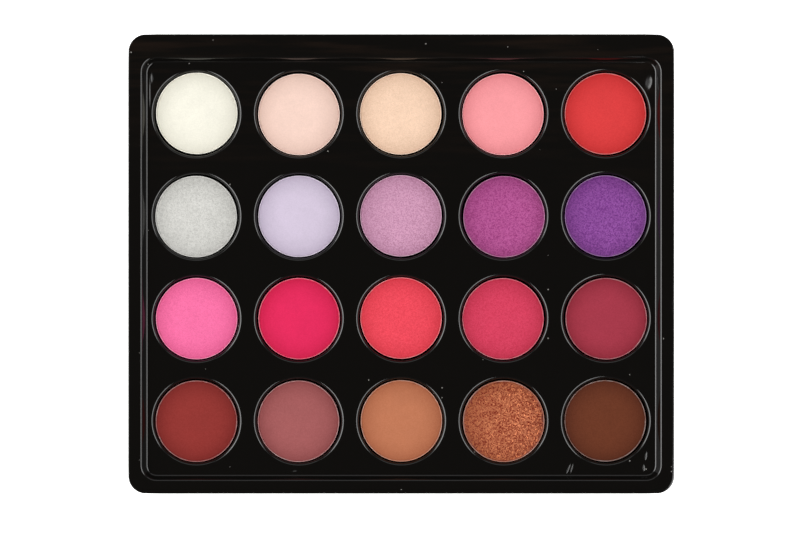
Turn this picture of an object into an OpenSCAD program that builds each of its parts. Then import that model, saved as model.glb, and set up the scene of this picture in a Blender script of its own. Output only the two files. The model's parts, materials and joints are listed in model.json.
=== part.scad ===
// Eyeshadow palette: a base shell, a formed tray with twenty wells, twenty pans of pressed powder,
// and a clear cover that folds at two creases behind it. The cover lies open, flat behind the case.
// Millimetres. +X is right, +Y is the rear (hinge) side, +Z is up. The origin is the middle of the underside.

/* [Pans] */
// Outside diameter of a pan
pan_d = 26; // [16:0.5:40]
// Height of a pan
pan_h = 4; // [2.5:0.1:8]
// Thickness of a pan's wall and floor
pan_wall = 0.3; // [0.2:0.05:0.5]
// Outside radius at the foot of a pan
pan_foot_r = 0.9; // [0.5:0.1:1.5]
// How far a powder's edge lies below its pan's rim
powder_edge = 0.3; // [0.1:0.05:0.8]
// How far a powder's middle stands above its edge
powder_crown = 0.6; // [0.1:0.05:1]

/* [Tray] */
// Thickness of the formed sheet
sheet_t = 0.6; // [0.4:0.05:1]
// Gap between a pan's side and its well's wall
pan_gap = 0.45; // [0.2:0.05:1]
// Rounding of the lip round a well
lip_r = 1.1; // [0.8:0.1:2]
// How far a pan's rim lies below the field
pan_sink = 0.9; // [0.4:0.1:3]
// Flat web between the lips of neighbouring wells
web_w = 3.56; // [1:0.1:12]
// Depth of the step from the flange down to the field
step_drop = 2.2; // [2.1:0.1:4]
// Width of the step, seen from above
step_run = 2.4; // [2.2:0.1:4]
// Rounding at the top and at the foot of the step
step_r = 1; // [0.8:0.05:1.05]
// Corner radius at the foot of the step
step_corner_r = 2.8; // [1.5:0.1:8]
// Flat strip between the outer wells' lips and the side and front steps
field_edge = 0.75; // [0.5:0.05:6]
// Extra flat strip in front of the front row
field_front_extra = 1.5; // [0:0.1:8]
// Extra flat strip behind the rear row
field_rear_extra = 0.55; // [0:0.05:8]
// Width of the flange at the sides and at the front
flange_w = 3.7; // [2.8:0.1:10]
// Extra width of the flange along the rear, where the cover folds
flange_rear_extra = 3.1; // [0:0.1:10]
// Corner radius of the case
corner_r = 5.7; // [4:0.1:12]

/* [Base] */
// Thickness of the base's floor
floor_t = 1.8; // [1:0.1:3]
// Thickness of the base's wall
base_wall = 2; // [1:0.1:2.2]
// How far the base stands back from the flange's edge
base_setback = 0.2; // [0:0.05:0.5]
// Rounding of the base's lower edge
base_edge_r = 1.2; // [0.5:0.1:1.5]
// Height of the rest rings under the wells
rest_h = 0.75; // [0.4:0.05:4]
// Thickness of the rest rings
rest_w = 1.2; // [0.8:0.1:2]
// Outside radius of the rest rings, as a share of the flat part of a well's floor
rest_share = 0.75; // [0.4:0.05:1]
// Diameter of the posts under the field
post_d = 5; // [3:0.5:7]
// Thickness of the glue lines
glue_t = 0.15; // [0.1:0.05:0.3]
// Diameter of the glue dot under each pan, as a share of the pan's
glue_dot_share = 0.33; // [0.15:0.01:0.6]
// Part of the base's wall kept clear of glue on either side
glue_clear_share = 0.2; // [0.1:0.05:0.3]

/* [Cover] */
// Thickness of the cover's film
film_t = 0.5; // [0.3:0.05:0.8]
// Gap between the closed cover and the case
cover_gap = 0.15; // [0.1:0.05:0.5]
// Gap between the cover's plug and the tray's step
plug_gap = 0.35; // [0.2:0.05:0.6]
// Depth of the cover's plug
plug_drop = 1.3; // [1.1:0.1:1.8]
// Width of the glued strip under the base
flap_w = 14; // [6:0.5:24]
// How far the flap and the spine stay clear of the case's corners
hinge_inset = 8; // [7:0.5:30]
// Width of the thumb tab
tab_w = 26; // [14:1:50]
// Reach of the thumb tab past the cover's front edge
tab_reach = 4.5; // [3:0.5:10]
// Rounding of the thumb tab's corners, as a share of its reach
tab_round_share = 0.8; // [0.3:0.1:1]
// Gap between each crease's bead and the film that folds on it
crease_gap = 0.05; // [0.03:0.01:0.1]

/* [Hidden] */
columns = 5;
rows = 4;
SHADES = ["ivory", "shell_pink", "champagne", "coral_pink", "poppy",
          "silver", "lavender", "orchid", "magenta", "violet",
          "bubblegum", "raspberry", "coral_red", "cranberry", "maroon",
          "brick", "mauve", "tan", "bronze_glitter", "chocolate"];
// Powder colours, in the order of SHADES
TINTS = ["#f9f6e7", "#f8d7c9", "#f9d6bb", "#fda0a5", "#de4344",
         "#d3d2cd", "#d5c8dc", "#cd98b6", "#b25591", "#894b98",
         "#f873a7", "#e5305f", "#ed4b5b", "#d5415e", "#a63c4c",
         "#923935", "#a45e5e", "#c07959", "#af6345", "#6c3b29"];
$fn = 96;
// Segments in each rounded edge of a swept or turned profile
arc_steps = 6;
// Segments round the domed powder's sphere, and round the bead along a crease
dome_segments = 600;
bead_segments = 32;
// Overlap that joins the sections of one piece
joint_overlap = 0.2;
// Far larger than the palette, for cutting shapes
huge = 1000;

// Plan sizes, from the pans outwards
well_r = pan_d / 2 + pan_gap;
lip_outer_r = well_r + lip_r;
pitch = 2 * lip_outer_r + web_w;
array_w = (columns - 1) * pitch + 2 * lip_outer_r;
array_d = (rows - 1) * pitch + 2 * lip_outer_r;
side_border = field_edge + step_run + flange_w;
front_border = side_border + field_front_extra;
rear_border = side_border + flange_rear_extra + field_rear_extra;
case_w = array_w + 2 * side_border;
case_d = array_d + front_border + rear_border;
array_y = (front_border - rear_border) / 2;

// Levels, from the ground upwards
well_bottom_z = floor_t + rest_h;
pan_z = well_bottom_z + sheet_t + glue_t;
rim_z = pan_z + pan_h;
field_z = rim_z + pan_sink;
flange_z = field_z + step_drop;
base_top_z = flange_z - sheet_t - glue_t;

// Points round part of a circle
function arc(x, y, r, from, to) =
    [for (i = [0 : arc_steps]) let (a = from + (to - from) * i / arc_steps) [x + r * cos(a), y + r * sin(a)]];

// Closing geometry of the cover
crease_z = film_t / 2;
spine_w = flange_z + cover_gap;
crease_rear_y = case_d / 2 + cover_gap + film_t / 2;
crease_lid_y = crease_rear_y + spine_w;
hinge_w = case_w - 2 * hinge_inset;
hinge_cut = film_t / 2 + crease_gap;

module rounded_plan(w, d, r) {
    square([w - 2 * r, d], center = true);
    square([w, d - 2 * r], center = true);
    for (x = [-1, 1], y = [-1, 1])
        translate([x * (w / 2 - r), y * (d / 2 - r)])
            circle(r);
}

// Plan of the case, drawn in by an inset
module case_plan(inset) {
    rounded_plan(case_w - 2 * inset, case_d - 2 * inset, corner_r - inset);
}

// Width and depth of the flat field inside the step, and where its middle lies
field_w = array_w + 2 * field_edge;
field_d = array_d + 2 * field_edge + field_front_extra + field_rear_extra;
field_y = array_y + (field_rear_extra - field_front_extra) / 2;

// Sweeps a profile round a rounded rectangle: x is the distance outwards from its edge, y is the height
module sweep_round(w, d, r) {
    for (side = [0 : 3]) {
        run = (side % 2 == 0 ? d : w) - 2 * r;
        out = (side % 2 == 0 ? w : d) / 2;
        rotate([0, 0, 90 * side]) {
            translate([out, run / 2, 0])
                rotate([90, 0, 0])
                    linear_extrude(run)
                        children();
            translate([out - r, run / 2, 0])
                rotate_extrude(angle = 90)
                    translate([r, 0])
                        children();
        }
    }
}

// Section of the sheet at the step down to the field, with the flange's upper face at height 0
module step_section() {
    // Slope of the straight run between two equal round edges
    slope = atan2(step_drop - 2 * step_r, step_run)
        + asin(2 * step_r / norm([step_run, step_drop - 2 * step_r]));
    upper = concat([[step_run + joint_overlap, 0]],
                   arc(step_run, -step_r, step_r, 90, 90 + slope),
                   arc(0, step_r - step_drop, step_r, 270 + slope, 270),
                   [[-joint_overlap, -step_drop]]);
    lower = concat([[-joint_overlap, -step_drop - sheet_t]],
                   arc(0, step_r - step_drop, step_r + sheet_t, 270, 270 + slope),
                   arc(step_run, -step_r, step_r - sheet_t, 90 + slope, 90),
                   [[step_run + joint_overlap, -sheet_t]]);
    polygon(concat(upper, lower));
}

// Plan of the flat band outside the step
module flange_plan() {
    difference() {
        case_plan(0);
        translate([0, field_y])
            rounded_plan(field_w + 2 * step_run, field_d + 2 * step_run, step_corner_r + step_run);
    }
}

// Puts its children at every well
module at_wells() {
    for (row = [0 : rows - 1], column = [0 : columns - 1])
        translate([well_x(column), well_y(row), 0])
            children();
}

// Columns run from left to right, and rows from rear to front
function well_x(column) = (column - (columns - 1) / 2) * pitch;
function well_y(row) = array_y + ((rows - 1) / 2 - row) * pitch;

// Section of one well: a rounded lip, an upright wall, a rounded foot and a flat floor
module well_section() {
    floor_z = well_bottom_z + sheet_t;
    foot_x = well_r - pan_foot_r;
    foot_z = floor_z + pan_foot_r;
    outside = concat([[0, well_bottom_z]],
                     arc(foot_x, foot_z, pan_foot_r + sheet_t, 270, 360),
                     arc(lip_outer_r, field_z - lip_r, lip_r - sheet_t, 180, 90),
                     [[lip_outer_r + joint_overlap, field_z - sheet_t]]);
    inside = concat([[lip_outer_r + joint_overlap, field_z]],
                    arc(lip_outer_r, field_z - lip_r, lip_r, 90, 180),
                    arc(foot_x, foot_z, pan_foot_r, 360, 270),
                    [[0, floor_z]]);
    polygon(concat(outside, inside));
}

module formed_tray() {
    color("#0c0c0d") {
        translate([0, 0, flange_z - sheet_t])
            linear_extrude(sheet_t)
                flange_plan();
        translate([0, field_y, flange_z])
            sweep_round(field_w, field_d, step_corner_r)
                step_section();
        translate([0, 0, field_z - sheet_t])
            linear_extrude(sheet_t)
                difference() {
                    translate([0, field_y])
                        rounded_plan(field_w, field_d, step_corner_r);
                    at_wells()
                        circle(lip_outer_r);
                }
        at_wells()
            rotate_extrude()
                well_section();
    }
}

// Section of what a rounded lower edge takes off, from that edge inwards
module base_edge_cut() {
    difference() {
        translate([-base_edge_r, -base_edge_r])
            square(2 * base_edge_r);
        translate([-base_edge_r, base_edge_r])
            circle(base_edge_r);
    }
}

module base_shell() {
    // The wall's inner face follows the outer one
    wall_in = base_setback + base_wall;
    rest_r = (well_r - pan_foot_r) * rest_share;
    color("#141415") {
        difference() {
            linear_extrude(base_top_z)
                case_plan(base_setback);
            sweep_round(case_w - 2 * base_setback, case_d - 2 * base_setback, corner_r - base_setback)
                base_edge_cut();
            translate([0, 0, floor_t])
                linear_extrude(huge)
                    case_plan(wall_in);
            // Recess for the cover's flap, with room for its glue
            translate([-hinge_w / 2 - cover_gap, case_d / 2 - flap_w - cover_gap, -huge])
                cube([hinge_w + 2 * cover_gap, huge, huge + film_t + glue_t]);
        }
        at_wells()
            translate([0, 0, floor_t - joint_overlap])
                linear_extrude(rest_h + joint_overlap)
                    difference() {
                        circle(rest_r);
                        circle(rest_r - rest_w);
                    }
        // Posts stand between every four wells and meet the field's underside
        for (row = [0 : rows - 2], column = [0 : columns - 2])
            translate([well_x(column) + pitch / 2, well_y(row) - pitch / 2, floor_t - joint_overlap])
                cylinder(h = field_z - sheet_t - floor_t + joint_overlap, d = post_d);
    }
}

module rim_adhesive() {
    // The bond stays inside the base's rim on both sides
    bond_margin = base_wall * glue_clear_share;
    color("#d8d8cc")
        translate([0, 0, base_top_z])
            linear_extrude(glue_t)
                difference() {
                    case_plan(base_setback + bond_margin);
                    case_plan(base_setback + base_wall - bond_margin);
                }
}

module pan_adhesive() {
    color("#d8d8cc")
        at_wells()
            translate([0, 0, pan_z - glue_t])
                cylinder(h = glue_t, d = pan_d * glue_dot_share);
}

// Turned section from the axis to a side, with a rounded foot
module footed_section(r, h, foot_r) {
    polygon(concat([[0, 0]], arc(r - foot_r, foot_r, foot_r, 270, 360), [[r, h], [0, h]]));
}

module pan_shape() {
    rotate_extrude()
        difference() {
            footed_section(pan_d / 2, pan_h, pan_foot_r);
            translate([0, pan_wall])
                footed_section(pan_d / 2 - pan_wall, pan_h, pan_foot_r - pan_wall);
        }
}

module powder_shape() {
    powder_r = pan_d / 2 - pan_wall;
    crown_z = pan_h - powder_edge + powder_crown;
    dome_r = (powder_r * powder_r + powder_crown * powder_crown) / (2 * powder_crown);
    intersection() {
        translate([0, 0, pan_wall])
            rotate_extrude()
                footed_section(powder_r, pan_h, pan_foot_r - pan_wall);
        translate([0, 0, crown_z - dome_r])
            sphere(dome_r, $fn = dome_segments);
    }
}

// Puts its children in the well of one shade, counted from the rear left
module in_well(shade) {
    translate([well_x(shade % columns), well_y(floor(shade / columns)), pan_z])
        children();
}

module hinge_flap() {
    color("#cfd6da", 0.5) {
        translate([-hinge_w / 2, case_d / 2 - flap_w, 0])
            cube([hinge_w, crease_rear_y - case_d / 2 + flap_w, film_t]);
        crease_bead(crease_rear_y);
    }
}

module hinge_spine() {
    color("#cfd6da", 0.5) {
        translate([-hinge_w / 2, crease_rear_y + hinge_cut, 0])
            cube([hinge_w, spine_w - hinge_cut, film_t]);
        crease_bead(crease_lid_y);
    }
}

// Round edge of the film along a crease
module crease_bead(y) {
    translate([-hinge_w / 2, y, crease_z])
        rotate([0, 90, 0])
            cylinder(h = hinge_w, d = film_t, $fn = bead_segments);
}

// The cover, as it lies on the closed case: a flange, and a plug that drops inside the tray's step
module closed_lid() {
    lid_z = flange_z + cover_gap;
    lid_rear_y = crease_rear_y - hinge_cut;
    difference() {
        union() {
            translate([0, 0, lid_z])
                linear_extrude(film_t) {
                    case_plan(0);
                    // Rear edge that reaches the crease
                    translate([-hinge_w / 2, 0])
                        square([hinge_w, lid_rear_y]);
                    // Thumb tab
                    translate([0, -case_d / 2])
                        rounded_plan(tab_w, 2 * tab_reach, tab_reach * tab_round_share);
                }
            translate([0, 0, lid_z - plug_drop])
                linear_extrude(plug_drop + film_t / 2)
                    plug_plan(0);
        }
        translate([0, 0, lid_z - plug_drop + film_t])
            linear_extrude(huge)
                plug_plan(film_t);
    }
}

// Outline of the plug, drawn in by an inset. It keeps its gap to the step at the plug's full depth
module plug_plan(inset) {
    out = step_run * (1 - (plug_drop - cover_gap) / step_drop) - plug_gap - inset;
    translate([0, field_y])
        rounded_plan(field_w + 2 * out, field_d + 2 * out, step_corner_r + out);
}

module lid_cover() {
    // Open, the cover is turned half a turn about its crease and lies behind the spine
    color("#cfd6da", 0.5)
        translate([0, crease_lid_y + crease_rear_y, spine_w + 2 * crease_z])
            rotate([180, 0, 0])
                closed_lid();
}

base_shell();
rim_adhesive();
formed_tray();
pan_adhesive();
hinge_flap();
hinge_spine();
lid_cover();
for (i = [0 : columns * rows - 1]) {
    color("#b9bbbd") in_well(i) pan_shape();
    color(TINTS[i]) in_well(i) powder_shape();
}
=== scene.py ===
# %% [markdown]
# # An eyeshadow palette, piece by piece
# The palette is a moulded base, a thin black sheet formed over it, twenty small metal pans of pressed
# powder, and a clear cover that folds back behind it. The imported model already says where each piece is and
# how it moves, so it is loaded first, and everything below takes its place from that frame, in metres.

# %% Load the frame
import json
import math
import random

import bmesh
import bpy
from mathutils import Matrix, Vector, noise


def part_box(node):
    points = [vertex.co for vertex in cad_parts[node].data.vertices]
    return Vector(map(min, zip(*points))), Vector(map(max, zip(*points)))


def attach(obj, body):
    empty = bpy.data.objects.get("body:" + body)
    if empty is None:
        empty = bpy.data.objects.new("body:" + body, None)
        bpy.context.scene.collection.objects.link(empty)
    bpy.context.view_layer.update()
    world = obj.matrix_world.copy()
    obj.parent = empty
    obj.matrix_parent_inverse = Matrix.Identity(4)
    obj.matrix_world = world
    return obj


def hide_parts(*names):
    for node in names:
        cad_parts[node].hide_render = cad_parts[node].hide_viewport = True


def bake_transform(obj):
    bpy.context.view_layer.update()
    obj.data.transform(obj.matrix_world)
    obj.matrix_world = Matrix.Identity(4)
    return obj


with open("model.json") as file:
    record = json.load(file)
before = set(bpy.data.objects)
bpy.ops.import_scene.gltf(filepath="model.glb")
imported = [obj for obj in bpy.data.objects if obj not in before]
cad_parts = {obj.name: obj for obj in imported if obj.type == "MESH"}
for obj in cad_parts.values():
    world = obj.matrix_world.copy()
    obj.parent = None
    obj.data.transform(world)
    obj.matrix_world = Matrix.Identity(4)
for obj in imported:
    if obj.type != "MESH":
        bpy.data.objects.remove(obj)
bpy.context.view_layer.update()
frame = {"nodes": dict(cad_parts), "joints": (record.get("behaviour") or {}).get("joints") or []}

MM = 0.001

# %% [markdown]
# ## Reading sizes from the frame
# A node's box gives the levels and edges that matter: the top of the black flange, the rims of the pans and
# the middle of every well. What a box can't tell, such as the rounding of a lip, is named once here.
# Working this way means that a piece still fits after the design changes a little. Glued pans never sit
# quite in the middle of their wells, so every pan gets a seat a little to one side, by a seeded random step.

# %% Places
SHADES = [name[len("pan_"):] for name in frame["nodes"] if name.startswith("pan_") and name != "pan_adhesive"]
wells = {}
for shade in SHADES:
    low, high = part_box("pan_" + shade)
    wells[shade] = ((low[0] + high[0]) / 2, (low[1] + high[1]) / 2)
SEAT_PLAY = 0.2
settling = random.Random(7)


def nudge():
    return settling.uniform(-SEAT_PLAY, SEAT_PLAY) * MM


seats = {shade: (x + nudge(), y + nudge()) for shade, (x, y) in wells.items()}
print("wells:", len(wells))

# %% Sizes
tray_low, tray_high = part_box("formed_tray")
pan_low, pan_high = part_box("pan_" + SHADES[0])
CASE_W = tray_high[0] - tray_low[0]
CASE_D = tray_high[1] - tray_low[1]
FLANGE_Z = tray_high[2]
WELL_BOTTOM_Z = tray_low[2]
PAN_Z = pan_low[2]
RIM_Z = pan_high[2]
PAN_R = (pan_high[0] - pan_low[0]) / 2
CORNER_R = 5.7 * MM
SHEET_T = 0.6 * MM
STEP_DROP = 2.2 * MM
STEP_RUN = 2.4 * MM
STEP_R = 1.0 * MM
STEP_CORNER_R = 2.8 * MM
FIELD_Z = FLANGE_Z - STEP_DROP
WELL_R = PAN_R + 0.45 * MM
LIP_R = 1.1 * MM
LIP_OUTER_R = WELL_R + LIP_R
FOOT_R = 0.9 * MM
columns = sorted({round(x, 5) for x, y in wells.values()})
rows = sorted({round(y, 5) for x, y in wells.values()})
PITCH = columns[1] - columns[0]
FIELD_EDGE = 0.75 * MM
FRONT_EXTRA = 1.5 * MM
REAR_EXTRA = 0.55 * MM
field_left = columns[0] - LIP_OUTER_R - FIELD_EDGE
field_right = columns[-1] + LIP_OUTER_R + FIELD_EDGE
field_front = rows[0] - LIP_OUTER_R - FIELD_EDGE - FRONT_EXTRA
field_rear = rows[-1] + LIP_OUTER_R + FIELD_EDGE + REAR_EXTRA
print("pitch mm:", round(PITCH / MM, 2), "case mm:", round(CASE_W / MM, 1), round(CASE_D / MM, 1))

# %% [markdown]
# ## Skins made of loops
# Most of these pieces are either turned, like a pan, or run round a rounded rectangle, like a flange. Both
# are loops of points, one after another, joined by four-sided faces. One small helper that joins loops can
# therefore make nearly every piece, and it keeps the edge flow even, so highlights run smoothly.

# %% Mesh helpers
def arc(x, y, r, start, end, steps):
    """Points round part of a circle, in degrees."""
    turn = [math.radians(start + (end - start) * i / steps) for i in range(steps + 1)]
    return [(x + r * math.cos(a), y + r * math.sin(a)) for a in turn]


def join_loops(mesh, loops, close_start=False, close_end=False):
    """Joins closed loops of vertices in order, and caps either end with one face."""
    for near, far in zip(loops, loops[1:]):
        count = len(near)
        for i in range(count):
            j = (i + 1) % count
            mesh.faces.new((near[i], near[j], far[j], far[i]))
    if close_start:
        mesh.faces.new(list(reversed(loops[0])))
    if close_end:
        mesh.faces.new(loops[-1])


def add_loop(mesh, points):
    return [mesh.verts.new(point) for point in points]


def turned(mesh, profile, centre, segments):
    """Turns a profile of (radius, height) about a vertical line. A radius of 0 is left to the caps."""
    loops = []
    for radius, height in profile:
        ring = []
        for i in range(segments):
            a = 2 * math.pi * i / segments
            ring.append((centre[0] + radius * math.cos(a), centre[1] + radius * math.sin(a), height))
        loops.append(add_loop(mesh, ring))
    return loops


def finish_piece(name, mesh, material, sharp=35):
    """Makes an object of a mesh, with smooth shading broken at edges sharper than an angle."""
    bmesh.ops.recalc_face_normals(mesh, faces=mesh.faces)
    data = bpy.data.meshes.new(name)
    mesh.to_mesh(data)
    mesh.free()
    data.shade_smooth()
    data.set_sharp_from_angle(angle=math.radians(sharp))
    data.materials.append(material)
    piece = bpy.data.objects.new(name, data)
    bpy.context.scene.collection.objects.link(piece)
    print(name, "faces:", len(data.polygons))
    return piece


print("mesh helpers ready")

# %% [markdown]
# ## Light, floor and camera
# The palette is seen from straight above. Gloss black shows only what it mirrors, so the room above it is
# dark, and the light comes from left and right, where the rounded lips and the step catch it. On each side a
# bright strip draws a crisp line, and a dimmer, wider panel behind it gives the line its soft fall-off. The
# floor is pale and well lit, and stands for a seamless paper sweep.

# %% Camera
VIEW_WIDTH = 254.05 * MM
LENS = 85
SENSOR = 36
VIEW_X = -0.39 * MM
VIEW_Y = -0.81 * MM
camera_data = bpy.data.cameras.new("overhead")
camera_data.lens = LENS
camera_data.sensor_width = SENSOR
camera = bpy.data.objects.new("overhead", camera_data)
camera.location = (VIEW_X, VIEW_Y, FLANGE_Z + VIEW_WIDTH * LENS / SENSOR)
bpy.context.scene.collection.objects.link(camera)
bpy.context.scene.camera = camera
print("camera height mm:", round(camera.location.z / MM))

# %% Lights
def soft_light(name, bearing, tilt, width, length, radiance, distance):
    """A soft box at a bearing from +X and a tilt from straight up. Its width is its size along the tilt."""
    data = bpy.data.lights.new(name, "AREA")
    data.shape = "RECTANGLE"
    data.size = width
    data.size_y = length
    data.energy = radiance * math.pi * width * length
    lamp = bpy.data.objects.new(name, data)
    turn = math.radians(bearing)
    lean = math.radians(tilt)
    towards = Vector((math.sin(lean) * math.cos(turn), math.sin(lean) * math.sin(turn), math.cos(lean)))
    lamp.location = towards * distance
    lamp.rotation_euler = (0, lean, turn)
    bpy.context.scene.collection.objects.link(lamp)


# Each light: bearing, tilt, width, length, radiance, distance
LIGHTS = {
    "left_strip": (192, 44, 0.5, 1.7, 5.6, 1.3),
    "right_strip": (-18, 35, 0.5, 1.7, 4.8, 1.3),
    "left_panel": (180, 52, 1.5, 1.9, 1.25, 1.5),
    "right_panel": (0, 52, 1.5, 1.9, 0.4, 1.5),
    "rear_panel": (90, 50, 0.6, 1.4, 0.7, 1.3),
}
for name, settings in LIGHTS.items():
    soft_light(name, *settings)
print("lights:", len(LIGHTS))

# %% Room
ROOM_LOW = 0.15
ROOM_HIGH = 0.05
world = bpy.data.worlds.new("studio")
world.use_nodes = True
wt = world.node_tree
wt.nodes.clear()
place = wt.nodes.new("ShaderNodeTexCoord")
split = wt.nodes.new("ShaderNodeSeparateXYZ")
height = wt.nodes.new("ShaderNodeMapRange")
height.inputs["From Min"].default_value = 0.35
height.inputs["From Max"].default_value = 0.9
height.inputs["To Min"].default_value = ROOM_LOW
height.inputs["To Max"].default_value = ROOM_HIGH
back = wt.nodes.new("ShaderNodeBackground")
out = wt.nodes.new("ShaderNodeOutputWorld")
wt.links.new(place.outputs["Generated"], split.inputs[0])
wt.links.new(split.outputs["Z"], height.inputs["Value"])
wt.links.new(height.outputs[0], back.inputs["Strength"])
wt.links.new(back.outputs[0], out.inputs["Surface"])
bpy.context.scene.world = world
bpy.context.scene.view_settings.view_transform = "Standard"
print("room:", world.name)

# %% [markdown]
# ## Shared surface effects
# Several finishes need the same small effects: fine dust, a slight unevenness in gloss, the grain of
# pressed powder and the glint of mica. Each is a node group with named inputs, built once, so that every
# material can place it with values of its own. A group gives out only masks, heights and normals.

# %% Node group helper
def new_group(name, inputs, outputs):
    """An empty node group with float inputs, given as (name, value), and outputs, given as (name, type)."""
    group = bpy.data.node_groups.new(name, "ShaderNodeTree")
    for label, value in inputs:
        socket = group.interface.new_socket(label, in_out="INPUT", socket_type="NodeSocketFloat")
        socket.default_value = value
    for label, kind in outputs:
        group.interface.new_socket(label, in_out="OUTPUT", socket_type=kind)
    start = group.nodes.new("NodeGroupInput")
    end = group.nodes.new("NodeGroupOutput")
    return group, start, end


def feed(tree, value, socket):
    """Sets a socket to a constant, or links it to another node's output."""
    if isinstance(value, (int, float, tuple)):
        socket.default_value = value
    elif value is not None:
        tree.links.new(value, socket)


def math_node(tree, operation, first, second=None, third=None):
    n = tree.nodes.new("ShaderNodeMath")
    n.operation = operation
    for socket, value in zip(n.inputs, (first, second, third)):
        feed(tree, value, socket)
    return n.outputs[0]


def vector_node(tree, operation, first, second=None, scale=None):
    n = tree.nodes.new("ShaderNodeVectorMath")
    n.operation = operation
    feed(tree, first, n.inputs[0])
    feed(tree, second, n.inputs[1])
    if scale is not None:
        feed(tree, scale, n.inputs["Scale"])
    return n.outputs[0]


def millimetres(tree):
    """The place on the piece, in millimetres."""
    coords = tree.nodes.new("ShaderNodeTexCoord")
    return vector_node(tree, "SCALE", coords.outputs["Object"], scale=1 / MM)


def noise_node(tree, where, scale, detail=2.0, rough=0.5):
    """Noise whose scale is a socket or a number, in cycles per millimetre."""
    n = tree.nodes.new("ShaderNodeTexNoise")
    n.inputs["Detail"].default_value = detail
    n.inputs["Roughness"].default_value = rough
    feed(tree, where, n.inputs["Vector"])
    feed(tree, scale, n.inputs["Scale"])
    return n.outputs["Fac"]


def remap(tree, value, low, high, to_low, to_high):
    """Carries a value from one range to another, and holds it there."""
    n = tree.nodes.new("ShaderNodeMapRange")
    labels = ("Value", "From Min", "From Max", "To Min", "To Max")
    for label, number in zip(labels, (value, low, high, to_low, to_high)):
        feed(tree, number, n.inputs[label])
    return n.outputs[0]


print("node helpers ready")

# %% [markdown]
# Dust lies as small separate specks. A Voronoi pattern has one point in each of its cells: a few cells are
# chosen by their random colour, and the distance to the cell's point draws the speck, larger or smaller.

# %% Dust
dust, start, end = new_group(
    "dust_specks",
    [("Density", 0.06), ("Cell", 1.2), ("Size", 0.12)],
    [("Mask", "NodeSocketFloat")],
)
where = millimetres(dust)
cells = dust.nodes.new("ShaderNodeTexVoronoi")
cells.voronoi_dimensions = "2D"
dust.links.new(where, cells.inputs["Vector"])
per_mm = math_node(dust, "DIVIDE", 1.0, start.outputs["Cell"])
dust.links.new(per_mm, cells.inputs["Scale"])
split = dust.nodes.new("ShaderNodeSeparateColor")
dust.links.new(cells.outputs["Color"], split.inputs[0])
reach = math_node(dust, "MULTIPLY", start.outputs["Size"], math_node(dust, "ADD", split.outputs[1], 0.5))
spot = remap(dust, cells.outputs["Distance"], 0.0, reach, 1.0, 0.0)
chosen = math_node(dust, "LESS_THAN", split.outputs[0], start.outputs["Density"])
dust.links.new(math_node(dust, "MULTIPLY", spot, chosen), end.inputs["Mask"])
print("made:", dust.name)

# %% [markdown]
# A drawn sheet is never quite flat or evenly glossy. A slow wave bends its reflections, a finer one breaks
# them up, a cloudy mask stands for smears, and a stretched one draws streaks.

# %% Uneven gloss
uneven, start, end = new_group(
    "uneven_sheet",
    [("Wave", 0.05), ("Fine", 1.5)],
    [("Height", "NodeSocketFloat"), ("Smear", "NodeSocketFloat"), ("Streak", "NodeSocketFloat")],
)
where = millimetres(uneven)
broad = noise_node(uneven, where, start.outputs["Wave"], 1.5)
fine = noise_node(uneven, where, start.outputs["Fine"], 3.0)
FINE_SHARE = 0.02
uneven.links.new(math_node(uneven, "MULTIPLY_ADD", fine, FINE_SHARE, broad), end.inputs["Height"])
smear = noise_node(uneven, where, 0.11, 4.0, 0.6)
uneven.links.new(remap(uneven, smear, 0.42, 0.75, 0.0, 1.0), end.inputs["Smear"])
along = vector_node(uneven, "MULTIPLY", where, (0.03, 0.35, 0.3))
streak = noise_node(uneven, along, 1.0, 3.0, 0.55)
uneven.links.new(remap(uneven, streak, 0.48, 0.72, 0.0, 1.0), end.inputs["Streak"])
print("made:", uneven.name)

# %% [markdown]
# Forming leaves small marks where the sheet was pinched or dragged: short ridges beside the step and near the
# corners. Each is a long, low mound, too fine for the mesh, so it is a height for a bump. A wider mound is
# also a taller one, so that all have equally steep sides and catch the lights. The list gives each one's
# place, the way it runs, and its length and width. The pulled plastic there is a little duller too.

# %% Forming marks
MARKS = [
    (-79.4, 59.3, 92, 1.5, 0.30), (-80.0, 54.5, 90, 4.5, 0.18), (78.7, 57.9, 80, 1.9, 0.8),
    (77.9, -61.2, 82, 1.1, 0.26), (77.2, -65.0, 95, 0.8, 0.30), (53.2, -65.3, 68, 1.5, 0.20),
    (54.3, -65.1, 74, 1.3, 0.18), (-34.0, -66.0, 10, 0.7, 0.20),
]
marks, start, end = new_group(
    "forming_marks", [], [("Height", "NodeSocketFloat"), ("Mask", "NodeSocketFloat")]
)
place = marks.nodes.new("ShaderNodeSeparateXYZ")
marks.links.new(millimetres(marks), place.inputs[0])
height = mask = 0.0
for mark_x, mark_y, heading, length, width in MARKS:
    dx = math_node(marks, "SUBTRACT", place.outputs["X"], mark_x)
    dy = math_node(marks, "SUBTRACT", place.outputs["Y"], mark_y)
    run_x, run_y = math.cos(math.radians(heading)), math.sin(math.radians(heading))
    along = math_node(marks, "MULTIPLY", dy, run_y / length)
    along = math_node(marks, "MULTIPLY_ADD", dx, run_x / length, along)
    across = math_node(marks, "MULTIPLY", dy, run_x / width)
    across = math_node(marks, "MULTIPLY_ADD", dx, -run_y / width, across)
    spread = math_node(marks, "MULTIPLY_ADD", along, along, math_node(marks, "MULTIPLY", across, across))
    mound = math_node(marks, "EXPONENT", math_node(marks, "MULTIPLY", spread, -1.0))
    height = math_node(marks, "MULTIPLY_ADD", mound, width, height)
    mask = math_node(marks, "ADD", mound, mask)
marks.links.new(height, end.inputs["Height"])
marks.links.new(mask, end.inputs["Mask"])
print("marks:", len(MARKS))

# %% [markdown]
# Pressed powder is a fine, slightly mottled cake. Seen close, it has a soft grain and faint marks of the
# cloth it was pressed through. Two crossed sine waves make the weave, and noise makes the rest.

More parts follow.
